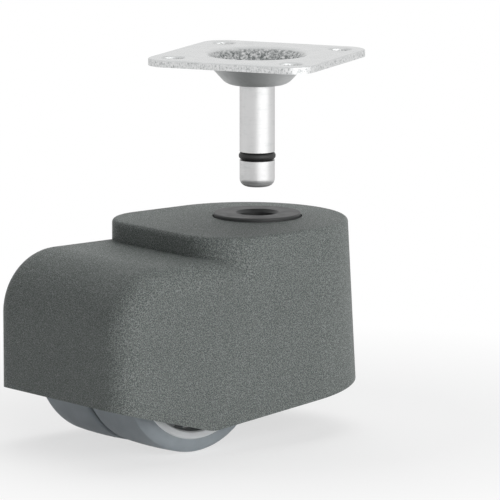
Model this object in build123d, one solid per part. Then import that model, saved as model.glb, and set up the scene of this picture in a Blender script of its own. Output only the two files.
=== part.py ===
from build123d import *
import math
import os

# A small twin-wheel furniture caster under a moulded hood, with its mounting plate and stem
# drawn up out of the socket. Lengths are in millimetres. Each piece is built with the floor at
# Z = 0 and the swivel axis on Z, the wheels lying towards -X. The finished pieces are then
# moved down, so that the origin is the centre of the mounting plate's top face.

# Wheels and axle
wheel_diameter = 40.0
wheel_gap = 1.6
wheel_width = 16.6
tyre_thickness = 3.3
tyre_shoulder = 1.6
tyre_crown = 0.22
tyre_setback = 0.25
tyre_ledge = 0.3
tyre_round = 0.6
shoulder_cut = 0.85
rim_thickness = 1.8
rim_chamfer = 0.3
hub_diameter = 12.0
hub_recess = 3.5
disc_offset = 7.0
disc_thickness = 2.2
spoke_count = 8
spoke_thickness = 1.4
spoke_setback = 1.0
axle_diameter = 6.0
axle_chamfer = 0.5
axle_setback = 0.2
boss_recess = 2.5
boss_radius = 6.5
washer_radius = 5.0
running_clearance = 0.05

# Hood
hood_wall = 2.2
wheel_to_swivel = 11.5
end_room = 4.3
roof_room = 1.3
side_room = 0.6
step_height = 4.7
arch_radius = 13.9
lobe_edge = 6.0
platform_overlap = 1.5
join_x = -10.0
platform_corner = 12.0
platform_edge = 1.0
end_flare = 3.2
lip_front_height = 12.9
lip_low_height = 5.8
lip_back_height = 11.75
lip_turn = 10.0
barb_x = -3.5
barb_depth = 0.7
barb_height = 2.4
barb_ledge = 0.4
barb_gap = 0.1
barb_length = 6.0

# Chassis that carries the axle and the socket
seat_clearance = 0.3
deck_thickness = 2.4
arm_thickness = 2.5
arm_half_width = 8.0
arm_top_width = 6.5
web_wall = 2.0
web_bottom = 15.0
web_gap = 2.2
rib_thickness = 1.6
rib_setback = 1.0
rib_end_height = 6.0
rib_foot = 2.0
socket_wall = 3.2
socket_spare = 0.8
socket_floor = 2.5
collar_diameter = 19.8
collar_rise = 0.8
collar_edge = 0.35
mouth_chamfer = 0.7

# Plate, stem and ring
plate_side = 40.0
plate_thickness = 1.6
plate_corner = 5.6
plate_edge = 0.35
plate_turn = 27.0
hole_margin = 5.65
hole_diameter = 5.0
hole_edge = 0.5
dish_mouth = 22.4
dish_slope = 47.0
dish_depth = 5.4
dish_rim_radius = 1.6
dish_foot_radius = 1.8
stem_diameter = 8.0
stem_length = 23.3
stem_tip_radius = 1.8
rivet_neck = 5.6
head_diameter = 10.6
head_height = 3.0
head_chamfer = 0.8
head_points = 6
head_notch = 1.9
notch_taper = 0.25
head_dimple = 2.6
ring_section = 1.8
ring_diameter = 8.4
ring_above_tip = 7.0
ring_play = 0.1
lift_gap = 6.0

# How far joined shapes run into each other, and cutting shapes run past what they cut
weld = 0.5
margin = 10.0

# Worked out from the sizes above
wheel_radius = wheel_diameter / 2
axle_x = -wheel_radius - wheel_to_swivel
wheel_inner = wheel_gap / 2
wheel_outer = wheel_inner + wheel_width
rim_radius = wheel_radius - tyre_thickness
rim_inner = rim_radius - rim_thickness
hub_radius = hub_diameter / 2
hub_end = wheel_outer - hub_recess
boss_face = wheel_outer - boss_recess
axle_radius = axle_diameter / 2
axle_bore = axle_radius + running_clearance
arm_inner = wheel_outer + side_room
chassis_half = arm_inner + arm_thickness
inner_half = chassis_half + seat_clearance
half_width = inner_half + hood_wall
hood_left = axle_x - wheel_radius - end_room - hood_wall
lobe_height = wheel_diameter + roof_room + hood_wall
hood_height = lobe_height + step_height
platform_start = axle_x + platform_overlap
deck_top = hood_height - hood_wall - seat_clearance
deck_bottom = deck_top - deck_thickness
collar_top = hood_height + collar_rise
socket_bore = ring_diameter / 2 + running_clearance
socket_depth = stem_length + socket_spare
barrel_radius = socket_bore + socket_wall
barrel_bottom = collar_top - socket_depth - socket_floor
web_x = axle_x + wheel_radius + web_gap
tip_height = collar_top + lift_gap
dish_under = tip_height + stem_length
plate_top = dish_under + plate_thickness + dish_depth
side_names = (("right", -1), ("left", 1))
upright = (Align.CENTER, Align.CENTER, Align.MIN)


def mirrored(shape, sign):
    """The wheel pieces are drawn on the +Y side and mirrored for the other side."""
    return shape if sign > 0 else mirror(shape, Plane.XZ)


def turned(section):
    """Revolve a section drawn in the XZ plane about the Z axis."""
    return revolve(section, Axis.Z, 360)


def on_axle(shape):
    """Lay a piece turned about Z along +Y, on the axle line."""
    return Pos(axle_x, 0, wheel_radius) * Rot(-90, 0, 0) * shape


def ring_solid(outer, inner, low, high):
    """A flat ring or tube about Z between two heights."""
    whole = Cylinder(outer, high - low, align=upright)
    hole = Cylinder(inner, high - low, align=upright)
    return Pos(0, 0, low) * (whole - hole)


# Wheels

def tyre():
    """Soft tread with a slight crown, a rounded outer shoulder and a flush inner side."""
    shoulder_y = wheel_outer - tyre_shoulder
    tread_radius = wheel_radius - tyre_crown
    side_y = wheel_outer - tyre_setback
    side = Polyline(
        (tread_radius, wheel_inner),
        (rim_radius, wheel_inner),
        (rim_radius, side_y),
        (rim_radius + tyre_ledge, side_y),
    )
    shoulder = ThreePointArc(
        (rim_radius + tyre_ledge, side_y),
        (tread_radius - shoulder_cut, wheel_outer - shoulder_cut),
        (tread_radius, shoulder_y),
    )
    tread = ThreePointArc(
        (tread_radius, shoulder_y),
        (wheel_radius, (wheel_inner + shoulder_y) / 2),
        (tread_radius, wheel_inner),
    )
    section = make_face(Plane.XZ * (Curve() + [side, shoulder, tread]))
    inner_corner = section.vertices().sort_by_distance((tread_radius, 0, wheel_inner))[0]
    return turned(fillet(inner_corner, tyre_round))


def wheel_core():
    """Rim, hub, disc and spokes, moulded in one."""
    disc_low = wheel_inner + disc_offset
    core = ring_solid(rim_radius, rim_inner, wheel_inner, wheel_outer)
    core += ring_solid(hub_radius, axle_bore, wheel_inner, hub_end)
    core += ring_solid(rim_inner, hub_radius, disc_low, disc_low + disc_thickness)
    spoke_low = wheel_inner + spoke_setback
    spoke_high = hub_end - spoke_setback
    spoke = Box(rim_inner - hub_radius + 2 * weld, spoke_thickness, spoke_high - spoke_low,
                align=(Align.MIN, Align.CENTER, Align.MIN))
    spoke = Pos(hub_radius - weld, 0, spoke_low) * spoke
    for index in range(spoke_count):
        core += Rot(0, 0, index * 360 / spoke_count) * spoke
    outer_edges = core.edges().filter_by(GeomType.CIRCLE).group_by(Axis.Z)[-1]
    return chamfer(outer_edges, rim_chamfer)


def axle():
    rod = Cylinder(axle_radius, 2 * (chassis_half - axle_setback))
    return chamfer(rod.edges().filter_by(GeomType.CIRCLE), axle_chamfer)


def centre_washer():
    half = wheel_inner - running_clearance
    return ring_solid(washer_radius, axle_bore, -half, half)


def side_washer():
    return ring_solid(washer_radius, axle_bore,
                      hub_end + running_clearance, boss_face - running_clearance)


# Hood

def lobe(inset):
    """The low, arched part over the wheels, its side outline softened all along."""
    left = hood_left + inset
    high = lobe_height - inset
    side = Pos((left + join_x) / 2, high / 2) * Rectangle(join_x - left, high)
    crest = side.vertices().sort_by(Axis.X)[:2].sort_by(Axis.Y)[-1:]
    side = Plane.XZ * fillet(crest, arch_radius - inset)
    block = extrude(side, amount=half_width - inset, both=True)
    outline = [edge for edge in block.edges()
               if abs(edge.center().Y) > weld
               and edge.center().Z > weld
               and edge.center().X < join_x - weld]
    return fillet(outline, lobe_edge - inset)


def round_end(inset):
    """The swivel end, leaning out towards the floor, up to the platform's height."""
    half = half_width - inset
    sections = []
    for height, end_x in ((0, 0), (hood_height, -end_flare)):
        shape = Pos((join_x + end_x) / 2, 0) * Rectangle(end_x - join_x, 2 * half)
        shape += Pos(end_x, 0) * Circle(half)
        sections.append(Pos(0, 0, height) * shape.face())
    return loft(sections, ruled=True)


def platform(inset):
    """The raised part over the swivel, with large upright corners at its step."""
    left = platform_start + inset
    shape = Pos((left + join_x) / 2, 0) * Rectangle(join_x - left, 2 * (half_width - inset))
    corners = shape.vertices().sort_by(Axis.X)[:2]
    low = lobe_height - lobe_edge - weld
    return Pos(0, 0, low) * extrude(fillet(corners, platform_corner - inset),
                                    amount=hood_height - low)


def upper_body(inset, low, high):
    """Platform and swivel end together, between two heights."""
    slab = Box(8 * half_width, 4 * half_width, high - low, align=upright)
    return (platform(inset) + round_end(inset)) & Pos(0, 0, low) * slab


def lip_cutter():
    """What is cut away below the hood's lower edge, lowest beside the axle."""
    front_slope = (lip_front_height - lip_low_height) / (axle_x - hood_left)
    back_slope = (lip_back_height - lip_low_height) / (half_width - axle_x)
    start = (hood_left - margin, lip_front_height + margin * front_slope)
    low = (axle_x, lip_low_height)
    end = (half_width + margin, lip_back_height + margin * back_slope)
    section = make_face(Plane.XZ * Polyline(
        start, low, end, (end[0], -margin), (start[0], -margin), close=True))
    turn = section.vertices().sort_by_distance((low[0], 0, low[1]))[0]
    return extrude(fillet(turn, lip_turn), amount=half_width + margin, both=True)


def hood():
    """Moulded shell, open below, with a round window for the collar and snap barbs inside."""
    upper = upper_body(0, 0, hood_height)
    upper = fillet(upper.edges().group_by(Axis.Z)[-1], platform_edge)
    shell = upper + lobe(0)
    shell -= upper_body(hood_wall, 0, hood_height - hood_wall) + lobe(hood_wall)
    shell -= lip_cutter()
    window_radius = collar_diameter / 2 + seat_clearance
    shell -= Pos(0, 0, hood_height) * Cylinder(window_radius, 4 * hood_wall)
    for sign in (-1, 1):
        shell += mirrored(snap_barb(), sign)
    return shell


def snap_barb():
    """Small wedge on the +Y wall, under the deck, that keeps the hood on the chassis."""
    root_y = inner_half + weld
    high = deck_bottom - barb_gap
    section = Polyline(
        (root_y, high),
        (inner_half - barb_depth, high - barb_ledge),
        (root_y, high - barb_height),
        close=True,
    )
    wedge = extrude(make_face(Plane.YZ * section), amount=barb_length / 2, both=True)
    return Pos(barb_x, 0, 0) * wedge


# Chassis

def deck():
    """Flat top of the chassis, fitting under the platform's roof."""
    return upper_body(hood_wall + seat_clearance, deck_bottom, deck_top)


def arm():
    """Outer fork arm on the +Y side, from the deck down round the axle, with its boss."""
    foot = Pos(axle_x, wheel_radius) * Circle(arm_half_width)
    head = Pos(web_x + web_wall - arm_top_width / 2, deck_bottom)
    head *= Rectangle(arm_top_width, 2 * weld)
    outline = make_hull((foot + head).edges())
    plate = Pos(0, arm_inner, 0) * extrude(Plane.XZ * outline, amount=-arm_thickness)
    boss = Cylinder(boss_radius, arm_inner - boss_face + weld, align=upright)
    bore = Cylinder(axle_radius, 3 * half_width)
    return plate + on_axle(Pos(0, 0, boss_face) * boss) - on_axle(bore)


def cross_web():
    """Upright wall behind the wheels, joining the two arms and the socket."""
    height = deck_bottom - web_bottom + weld
    wall = Box(web_wall, 2 * chassis_half, height, align=(Align.MIN, Align.CENTER, Align.MIN))
    return Pos(web_x, 0, web_bottom) * wall


def socket_rib():
    """Rib from the socket out towards the round end, tapering downwards."""
    reach = half_width - hood_wall - seat_clearance - end_flare - rib_setback
    side = Polyline(
        (0, deck_bottom + weld),
        (reach, deck_bottom + weld),
        (reach, deck_bottom - rib_end_height),
        (barrel_radius, barrel_bottom + rib_foot),
        (0, barrel_bottom + rib_foot),
        close=True,
    )
    return extrude(make_face(Plane.XZ * side), amount=rib_thickness / 2, both=True)


def chassis():
    """Nylon carrier: collar and socket, deck, cross web and the two arms for the axle."""
    body = deck() + cross_web()
    barrel = Cylinder(barrel_radius, deck_top - barrel_bottom, align=upright)
    body += Pos(0, 0, barrel_bottom) * barrel
    collar = Cylinder(collar_diameter / 2, collar_top - deck_top + weld, align=upright)
    collar = fillet(collar.edges().group_by(Axis.Z)[-1], collar_edge)
    body += Pos(0, 0, deck_top - weld) * collar
    for angle in range(-90, 91, 45):
        body += Rot(0, 0, angle) * socket_rib()
    for sign in (-1, 1):
        body += mirrored(arm(), sign)
    bore = Cylinder(socket_bore, socket_depth + weld, align=upright)
    body -= Pos(0, 0, collar_top - socket_depth) * bore
    mouth = body.edges().filter_by(GeomType.CIRCLE).group_by(Axis.Z)[-1]
    return chamfer(mouth.sort_by(SortBy.RADIUS)[:1], mouth_chamfer)


# Plate, stem and ring

def mounting_plate():
    """Pressed steel plate with four punched holes and a deep round dish."""
    blank = RectangleRounded(plate_side, plate_side, plate_corner)
    sheet = extrude(blank, amount=-plate_thickness)
    sheet = fillet(sheet.edges().group_by(Axis.Z)[-1], plate_edge)
    hole_spacing = plate_side - 2 * hole_margin
    holes = GridLocations(hole_spacing, hole_spacing, 2, 2)
    sheet -= holes * Cylinder(hole_diameter / 2, 4 * plate_thickness)
    rims = [edge for edge in sheet.edges().filter_by(GeomType.CIRCLE).group_by(Axis.Z)[-1]
            if abs(edge.radius - hole_diameter / 2) < 0.01]
    sheet = fillet(rims, hole_edge)
    sheet -= Cylinder(dish_mouth / 2 + dish_rim_radius + plate_thickness, 4 * plate_thickness)
    plate = Rot(0, 0, plate_turn) * (sheet + pressed_dish())
    return Pos(0, 0, plate_top) * plate


def pressed_dish():
    """The dish, of the same sheet, with its rounded mouth, sloping wall and pierced floor."""
    outer = dish_mouth / 2 + dish_rim_radius + plate_thickness
    mouth = dish_mouth / 2
    slope = math.radians(dish_slope)
    foot = mouth - dish_depth / math.tan(slope)
    shift = plate_thickness * math.tan(slope / 2)
    section = make_face(Plane.XZ * Polyline(
        (outer, 0),
        (mouth, 0),
        (foot, -dish_depth),
        (rivet_neck / 2, -dish_depth),
        (rivet_neck / 2, -dish_depth - plate_thickness),
        (foot + shift, -dish_depth - plate_thickness),
        (mouth + shift, -plate_thickness),
        (outer, -plate_thickness),
        close=True,
    ))
    bends = (
        (mouth, 0, dish_rim_radius + plate_thickness),
        (mouth + shift, -plate_thickness, dish_rim_radius),
        (foot, -dish_depth, dish_foot_radius),
        (foot + shift, -dish_depth - plate_thickness, dish_foot_radius + plate_thickness),
    )
    for x, z, radius in bends:
        bend = section.vertices().sort_by_distance((x, 0, z))[0]
        section = fillet(bend, radius)
    return turned(section)


def stem():
    """Turned steel pin, grooved for its ring, its top riveted over in a faceted head."""
    radius = stem_diameter / 2
    pin = Cylinder(radius, stem_length, align=upright)
    pin = fillet(pin.edges().filter_by(GeomType.CIRCLE).group_by(Axis.Z)[0], stem_tip_radius)
    pin = Pos(0, 0, tip_height) * pin
    neck = Cylinder(rivet_neck / 2, plate_thickness + 2 * weld, align=upright)
    pin += Pos(0, 0, dish_under - weld) * neck
    pin += Pos(0, 0, dish_under + plate_thickness) * rivet_head()
    groove_floor = ring_diameter / 2 - ring_section - ring_play / 2
    groove_centre = tip_height + ring_above_tip
    groove_half = ring_section / 2 + ring_play
    pin -= ring_solid(radius + weld, groove_floor, groove_centre - groove_half,
                      groove_centre + groove_half)
    return pin


def rivet_head():
    """Head swaged into a ring of pointed facets round a shallow dimple."""
    head = Cylinder(head_diameter / 2, head_height, align=upright)
    head = chamfer(head.edges().filter_by(GeomType.CIRCLE).group_by(Axis.Z)[-1], head_chamfer)
    opening = head_diameter / 2 * math.tan(math.pi / head_points)
    notch = Polyline((-opening, 0), (0, -head_notch), (opening, 0), close=True)
    wedge = loft([
        make_face(Plane.YZ * scale(notch, notch_taper)),
        Pos(head_diameter / 2 + weld, 0, 0) * make_face(Plane.YZ * notch),
    ])
    for index in range(head_points):
        turn = Rot(0, 0, index * 360 / head_points)
        head -= Pos(0, 0, head_height) * turn * wedge
    return head - Pos(0, 0, head_height) * Sphere(head_dimple)


def o_ring():
    middle = ring_diameter / 2 - ring_section / 2
    return Pos(0, 0, tip_height + ring_above_tip) * Torus(middle, ring_section / 2)


def all_pieces():
    pieces = {
        "mounting_plate": mounting_plate(),
        "stem": stem(),
        "o_ring": o_ring(),
        "hood": hood(),
        "chassis": chassis(),
        "axle": on_axle(axle()),
        "centre_washer": on_axle(centre_washer()),
    }
    for side, sign in side_names:
        pieces["tyre_" + side] = mirrored(on_axle(tyre()), sign)
        pieces["wheel_core_" + side] = mirrored(on_axle(wheel_core()), sign)
        pieces["hub_washer_" + side] = mirrored(on_axle(side_washer()), sign)
    return pieces


os.makedirs("parts", exist_ok=True)
for node, piece in all_pieces().items():
    export_step(Pos(0, 0, -plate_top) * piece, "parts/" + node + ".step")
print("plate top above floor", round(plate_top, 3))
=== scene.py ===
import math

import bpy
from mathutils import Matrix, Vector


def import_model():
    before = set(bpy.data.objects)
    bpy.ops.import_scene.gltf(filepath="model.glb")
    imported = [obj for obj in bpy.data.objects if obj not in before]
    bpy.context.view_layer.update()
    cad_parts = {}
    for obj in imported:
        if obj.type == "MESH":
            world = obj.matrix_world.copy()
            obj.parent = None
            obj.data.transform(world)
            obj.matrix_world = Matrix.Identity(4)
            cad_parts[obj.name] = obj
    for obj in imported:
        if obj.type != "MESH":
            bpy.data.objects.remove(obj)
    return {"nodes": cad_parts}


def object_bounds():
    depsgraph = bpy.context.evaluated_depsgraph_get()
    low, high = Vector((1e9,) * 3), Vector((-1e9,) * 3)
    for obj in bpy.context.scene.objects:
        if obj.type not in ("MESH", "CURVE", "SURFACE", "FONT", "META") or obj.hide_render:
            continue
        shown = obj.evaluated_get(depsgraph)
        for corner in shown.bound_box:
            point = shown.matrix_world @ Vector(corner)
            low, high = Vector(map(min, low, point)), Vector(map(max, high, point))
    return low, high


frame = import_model()
cad_low, cad_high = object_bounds()

MM = 0.001
FLOOR_Z = cad_low.z
WHEEL_RADIUS = 20 * MM
AXLE = Vector((-31.5 * MM, 0, FLOOR_Z + WHEEL_RADIUS))
IMAGE_PIXELS = 500
SENSOR_MM = 36
AIM = (0, 0, -60 * MM)  # the middle of the body, which the lamps point at


class Material:
    """A node material with a few helpers, all in object coordinates in metres."""

    def __init__(self, name):
        self.material = bpy.data.materials.new(name)
        self.material.use_nodes = True
        self.tree = self.material.node_tree
        self.shader = self.tree.nodes["Principled BSDF"]
        self.output = self.tree.nodes["Material Output"]
        self.coords = self.add("ShaderNodeTexCoord")

    def add(self, kind):
        return self.tree.nodes.new(kind)

    def link(self, start, end):
        self.tree.links.new(start, end)

    def position(self, stretch=(1, 1, 1)):
        mapping = self.add("ShaderNodeMapping")
        mapping.inputs["Scale"].default_value = stretch
        self.link(self.coords.outputs["Object"], mapping.inputs["Vector"])
        return mapping.outputs["Vector"]

    def split(self, vector):
        parts = self.add("ShaderNodeSeparateXYZ")
        self.link(vector, parts.inputs[0])
        return parts.outputs

    def normal_z(self):
        """1 where the surface faces up, -1 where it faces down."""
        geometry = self.add("ShaderNodeNewGeometry")
        return self.split(geometry.outputs["Normal"])["Z"]

    def noise(self, size_mm, detail=3, roughness=0.5, stretch=(1, 1, 1)):
        node = self.add("ShaderNodeTexNoise")
        node.inputs["Scale"].default_value = 1000 / size_mm
        node.inputs["Detail"].default_value = detail
        node.inputs["Roughness"].default_value = roughness
        self.link(self.position(stretch), node.inputs["Vector"])
        return node.outputs["Fac"]

    def cells(self, size_mm):
        node = self.add("ShaderNodeTexVoronoi")
        node.inputs["Scale"].default_value = 1000 / size_mm
        self.link(self.position(), node.inputs["Vector"])
        return node.outputs["Distance"]

    def ramp(self, factor, stops):
        """Stops are (place, grey) or (place, (red, green, blue))."""
        node = self.add("ShaderNodeValToRGB")
        points = node.color_ramp.elements
        while len(points) < len(stops):
            points.new(0.5)
        for point, (place, value) in zip(points, stops):
            point.position = place
            grey = (value, value, value) if isinstance(value, (int, float)) else value
            point.color = (*grey, 1)
        self.link(factor, node.inputs["Fac"])
        return node.outputs["Color"]

    def maths(self, operation, first, second=0.0):
        node = self.add("ShaderNodeMath")
        node.operation = operation
        for place, value in enumerate((first, second)):
            if isinstance(value, (int, float)):
                node.inputs[place].default_value = value
            else:
                self.link(value, node.inputs[place])
        return node.outputs[0]

    def weigh(self, first, share, second, other_share):
        """The sum of two patterns, each times its share."""
        return self.maths("ADD", self.maths("MULTIPLY", first, share),
                          self.maths("MULTIPLY", second, other_share))

    def blend(self, under, over, factor, how="MIX"):
        node = self.add("ShaderNodeMix")
        node.data_type = "RGBA"
        node.blend_type = how
        if isinstance(factor, (int, float)):
            node.inputs[0].default_value = factor
        else:
            self.link(factor, node.inputs[0])
        self.link(under, node.inputs[6])
        self.link(over, node.inputs[7])
        return node.outputs[2]

    def bump(self, height, distance_mm, strength, under=None):
        node = self.add("ShaderNodeBump")
        node.inputs["Distance"].default_value = distance_mm * MM
        node.inputs["Strength"].default_value = strength
        self.link(height, node.inputs["Height"])
        if under is not None:
            self.link(under, node.inputs["Normal"])
        return node.outputs["Normal"]

    def duller_below(self, roughness):
        """Undersides, which the plating bath leaves matt, are rougher than the rest."""
        downward = self.maths("MULTIPLY", self.normal_z(), -1.0)
        matt = self.ramp(downward, [(0.15, 0.0), (0.60, 0.38)])
        return self.maths("ADD", roughness, matt)

    def finish(self, color, roughness, normal, **fixed):
        self.link(color, self.shader.inputs["Base Color"])
        self.link(roughness, self.shader.inputs["Roughness"])
        self.link(normal, self.shader.inputs["Normal"])
        for name, value in fixed.items():
            self.shader.inputs[name.replace("_", " ")].default_value = value
        return self.material


def grained_plastic():
    """The hood's dark green-grey moulding, with its fine raised grain."""
    m = Material("grained_plastic")
    grain = m.noise(0.28, detail=3, roughness=0.8)
    fine = m.cells(0.22)
    broad = m.noise(14, detail=2)
    mixed = m.weigh(grain, 0.7, fine, 0.45)
    speckle = m.ramp(mixed, [
        (0.38, (0.066, 0.078, 0.075)),
        (0.54, (0.131, 0.147, 0.141)),
        (0.69, (0.288, 0.309, 0.298)),
    ])
    tint = m.ramp(broad, [(0.3, 0.94), (0.7, 1.0)])
    color = m.blend(speckle, tint, 1.0, "MULTIPLY")
    rough = m.ramp(mixed, [(0.3, 0.62), (0.8, 0.46)])
    return m.finish(color, rough, m.bump(mixed, 0.20, 0.9), Specular_IOR_Level=0.18)


def soft_tread():
    """The tyres' matt blue-grey, faintly mottled, with a fine skin."""
    m = Material("soft_tread")
    mottle = m.noise(5, detail=4, roughness=0.6)
    fine = m.noise(0.5, detail=2)
    color = m.ramp(mottle, [(0.30, (0.318, 0.354, 0.380)), (0.70, (0.384, 0.422, 0.452))])
    rough = m.ramp(fine, [(0.3, 0.52), (0.7, 0.66)])
    return m.finish(color, rough, m.bump(fine, 0.04, 0.35), Specular_IOR_Level=0.35)


def rim_plastic():
    """The wheel cores' light grey."""
    m = Material("rim_plastic")
    mottle = m.noise(6, detail=3)
    fine = m.noise(0.4, detail=2)
    color = m.ramp(mottle, [(0.3, (0.78, 0.80, 0.81)), (0.7, (0.84, 0.86, 0.87))])
    rough = m.ramp(fine, [(0.3, 0.38), (0.7, 0.5)])
    return m.finish(color, rough, m.bump(fine, 0.03, 0.25))


def black_nylon():
    """Collar and carrier: satin black with the faint sink and grain of a plain mould."""
    m = Material("black_nylon")
    mottle = m.noise(3, detail=4, roughness=0.6)
    fine = m.noise(0.35, detail=2)
    color = m.ramp(mottle, [(0.3, (0.014, 0.015, 0.015)), (0.7, (0.026, 0.028, 0.028))])
    rough = m.ramp(mottle, [(0.3, 0.42), (0.7, 0.58)])
    return m.finish(color, rough, m.bump(fine, 0.05, 0.4))


def ring_rubber():
    """The ring on the stem: black rubber, slightly dull."""
    m = Material("ring_rubber")
    fine = m.noise(0.3, detail=2)
    color = m.ramp(fine, [(0.3, 0.010), (0.7, 0.022)])
    rough = m.ramp(fine, [(0.3, 0.45), (0.7, 0.62)])
    return m.finish(color, rough, m.bump(fine, 0.03, 0.3))


def washer_plastic():
    """The washers' natural off-white."""
    m = Material("washer_plastic")
    fine = m.noise(0.8, detail=2)
    color = m.ramp(fine, [(0.3, (0.60, 0.60, 0.57)), (0.7, (0.68, 0.68, 0.65))])
    rough = m.ramp(fine, [(0.3, 0.35), (0.7, 0.5)])
    return m.finish(color, rough, m.bump(fine, 0.02, 0.2))


def zinc(name, grain_stretch, light, dark):
    """Bright turned metal: cloudy crystals, pits, and turning marks along grain_stretch."""
    m = Material(name)
    cloud = m.noise(3.2, detail=5, roughness=0.62)
    marks = m.noise(1.0, detail=3, roughness=0.6, stretch=grain_stretch)
    mixed = m.weigh(cloud, 0.55, marks, 0.45)
    color = m.ramp(mixed, [(0.30, dark), (0.50, light), (0.70, light)])
    rough = m.duller_below(m.ramp(mixed, [(0.34, 0.44), (0.64, 0.34)]))
    normal = m.bump(m.cells(0.9), 0.02, 0.22, under=m.bump(marks, 0.03, 0.30))
    return m.finish(color, rough, normal, Metallic=1.0, Specular_Tint=(0.8, 0.8, 0.8, 1))


def plate_zinc():
    """Bright zinc on sheet, with streaked sheared edges, and the dish's sloped walls painted
    dark with speckles as a painted dark reflection.
    """
    m = Material("plate_zinc")
    cloud = m.noise(4.0, detail=6, roughness=0.66)
    rolled = m.noise(1.0, detail=3, roughness=0.6, stretch=(0.25, 1.6, 1.0))
    streaks = m.noise(0.42, detail=4, roughness=0.7, stretch=(1.0, 1.0, 0.8))
    fine = m.noise(0.7, detail=3, roughness=0.75)
    face = m.weigh(cloud, 0.6, rolled, 0.4)

    # where on the plate: distance from its axis, as a share of 20 mm, and slope
    place = m.split(m.position((1, 1, 0)))
    across = m.maths("MULTIPLY", place["X"], place["X"])
    along = m.maths("MULTIPLY", place["Y"], place["Y"])
    radius = m.maths("SQRT", m.maths("ADD", across, along))
    share = m.maths("MULTIPLY", radius, 1 / (20 * MM))
    in_dish = m.ramp(share, [(0.50, 1.0), (0.64, 0.0)])
    at_edge = m.ramp(share, [(0.80, 0.0), (0.86, 1.0)])
    facing = m.normal_z()
    upright = m.maths("SUBTRACT", 1.0, m.maths("ABSOLUTE", facing))
    steep = m.ramp(facing, [(0.10, 0.0), (0.25, 1.0), (0.84, 1.0), (0.94, 0.0)])
    edge = m.maths("MULTIPLY", m.ramp(upright, [(0.45, 0.0), (0.90, 1.0)]), at_edge)
    # painted dark reflection: this mask marks the dish's sloped walls for dark speckled colour
    dish_walls_painted_dark = m.maths("MULTIPLY", steep, in_dish)

    face_color = m.ramp(face, [
        (0.34, (0.57, 0.58, 0.58)), (0.50, (0.61, 0.62, 0.62)), (0.70, (0.65, 0.65, 0.65))])
    edge_color = m.ramp(streaks, [
        (0.34, (0.30, 0.31, 0.31)), (0.46, (0.60, 0.61, 0.61)), (0.62, (0.74, 0.74, 0.74))])
    # painted dark reflection: dark speckled colour on the dish's sloped walls, standing in for
    # the dark surroundings mirrored there
    speckle = m.ramp(fine, [
        (0.40, (0.12, 0.13, 0.13)), (0.52, (0.36, 0.37, 0.37)), (0.66, (0.66, 0.66, 0.66))])
    color = m.blend(m.blend(face_color, edge_color, edge), speckle, dish_walls_painted_dark)

    plain = m.duller_below(m.ramp(face, [(0.34, 0.30), (0.66, 0.22)]))
    sheared = m.maths("MULTIPLY", at_edge, m.ramp(upright, [(0.05, 0.0), (0.5, 0.25)]))
    rough = m.maths("ADD", plain, sheared)
    normal = m.bump(face, 0.03, 0.15, under=m.bump(streaks, 0.02, 0.15))
    return m.finish(color, rough, normal, Metallic=1.0, Specular_Tint=(0.95, 0.95, 0.95, 1))


def paint(material, *nodes):
    for name in nodes:
        for place in frame["nodes"][name].material_slots:
            place.material = material


paint(grained_plastic(), "hood")
paint(soft_tread(), "tyre_left", "tyre_right")
paint(rim_plastic(), "wheel_core_left", "wheel_core_right")
paint(black_nylon(), "chassis")
paint(ring_rubber(), "o_ring")
paint(washer_plastic(), "centre_washer", "hub_washer_left", "hub_washer_right")
paint(plate_zinc(), "mounting_plate")
paint(zinc("stem_zinc", (0.3, 0.3, 2.5), (0.63, 0.63, 0.63), (0.54, 0.55, 0.55)), "stem")
paint(zinc("axle_steel", (0.4, 2.5, 0.4), (0.62, 0.62, 0.61), (0.40, 0.40, 0.40)), "axle")


def place_towards(thing, place, target):
    thing.location = place
    thing.rotation_mode = "QUATERNION"
    thing.rotation_quaternion = (Vector(target) - Vector(place)).to_track_quat("-Z", "Y")
    bpy.context.scene.collection.objects.link(thing)


def camera():
    """At the photograph's azimuth, but higher and further off, so that the plate's face shows.

    The axle stands at its place in the photograph, left of and below the picture's middle.
    """
    azimuth, elevation = math.radians(-38.6), math.radians(10.5)
    distance = 1.2
    pixels_a_metre = 4460
    axle_left_px, axle_down_px = 101.2, 103.5
    back = Vector((math.sin(azimuth) * math.cos(elevation),
                   -math.cos(azimuth) * math.cos(elevation), math.sin(elevation)))
    right = Vector((math.cos(azimuth), math.sin(azimuth), 0))
    up = back.cross(right)
    target = (AXLE + right * (axle_left_px / pixels_a_metre)
              + up * (axle_down_px / pixels_a_metre))
    data = bpy.data.cameras.new("camera")
    data.sensor_width = SENSOR_MM
    data.lens = SENSOR_MM * pixels_a_metre * distance / IMAGE_PIXELS
    data.clip_start, data.clip_end = 0.01, 20
    seer = bpy.data.objects.new("camera", data)
    place_towards(seer, AXLE + back * distance, target)
    bpy.context.scene.camera = seer


def area_light(name, place, size, power, target=AIM, mirrored=True):
    """A lamp that isn't mirrored stays out of glossy rays, where bright zinc would clip."""
    data = bpy.data.lights.new(name, "AREA")
    data.shape = "RECTANGLE"
    data.size, data.size_y = size
    data.energy = power
    lamp = bpy.data.objects.new(name, data)
    lamp.visible_glossy = mirrored
    place_towards(lamp, place, target)


def sees_background(tree):
    """1 for the rays that show the background: camera, glossy and transmission rays."""
    path = tree.nodes.new("ShaderNodeLightPath")
    result = path.outputs["Is Camera Ray"]
    for ray in ("Is Glossy Ray", "Is Transmission Ray"):
        either = tree.nodes.new("ShaderNodeMath")
        either.operation = "MAXIMUM"
        tree.links.new(result, either.inputs[0])
        tree.links.new(path.outputs[ray], either.inputs[1])
        result = either.outputs[0]
    return result


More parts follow.
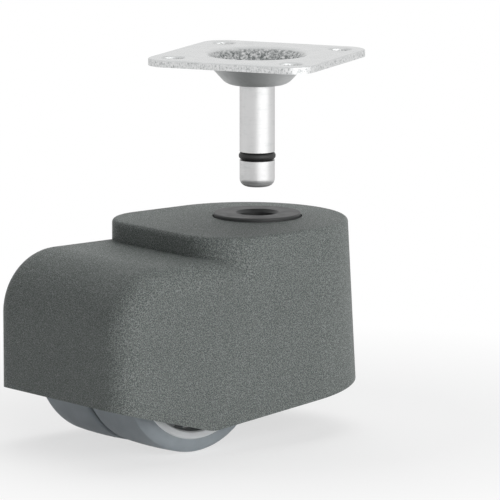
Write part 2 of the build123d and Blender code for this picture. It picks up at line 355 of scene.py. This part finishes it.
def world():
    """White as background and in reflections, a soft even grey as light."""
    studio = bpy.data.worlds.new("studio")
    bpy.context.scene.world = studio
    studio.use_nodes = True
    tree = studio.node_tree
    tree.nodes.clear()
    seen = tree.nodes.new("ShaderNodeBackground")
    seen.inputs["Color"].default_value = (1, 1, 1, 1)
    seen.inputs["Strength"].default_value = 1.0
    light = tree.nodes.new("ShaderNodeBackground")
    light.inputs["Color"].default_value = (0.96, 0.98, 1, 1)
    light.inputs["Strength"].default_value = 0.07
    mix = tree.nodes.new("ShaderNodeMixShader")
    output = tree.nodes.new("ShaderNodeOutputWorld")
    tree.links.new(sees_background(tree), mix.inputs[0])
    tree.links.new(light.outputs[0], mix.inputs[1])
    tree.links.new(seen.outputs[0], mix.inputs[2])
    tree.links.new(mix.outputs[0], output.inputs[0])


def floor():
    """Pale floor that takes the caster's shadow and turns plain white further off."""
    bpy.ops.mesh.primitive_plane_add(size=16, location=(0, 0, FLOOR_Z))
    plane = bpy.context.object
    plane.name = "floor"
    m = Material("floor")
    m.shader.inputs["Base Color"].default_value = (0.94, 0.94, 0.94, 1)
    m.shader.inputs["Roughness"].default_value = 0.9
    m.shader.inputs["Specular IOR Level"].default_value = 0.1
    length = m.add("ShaderNodeVectorMath")
    length.operation = "LENGTH"
    m.link(m.coords.outputs["Object"], length.inputs[0])
    far = m.ramp(length.outputs["Value"], [(0.05, 0.66), (0.13, 1.0)])
    white = m.add("ShaderNodeEmission")
    mix = m.add("ShaderNodeMixShader")
    m.link(m.maths("MULTIPLY", far, sees_background(m.tree)), mix.inputs[0])
    m.link(m.shader.outputs[0], mix.inputs[1])
    m.link(white.outputs[0], mix.inputs[2])
    m.link(mix.outputs[0], m.output.inputs[0])
    plane.data.materials.append(m.material)


camera()
world()
floor()
area_light("key", place=(0.00, -1.15, 0.18), size=(1.7, 1.2), power=15.0,
           target=(-20 * MM, 0, -60 * MM))
area_light("overhead", place=(0.53, 0.40, 1.20), size=(1.2, 1.2), power=11.5, mirrored=False)

bpy.context.scene.view_settings.view_transform = "Standard"
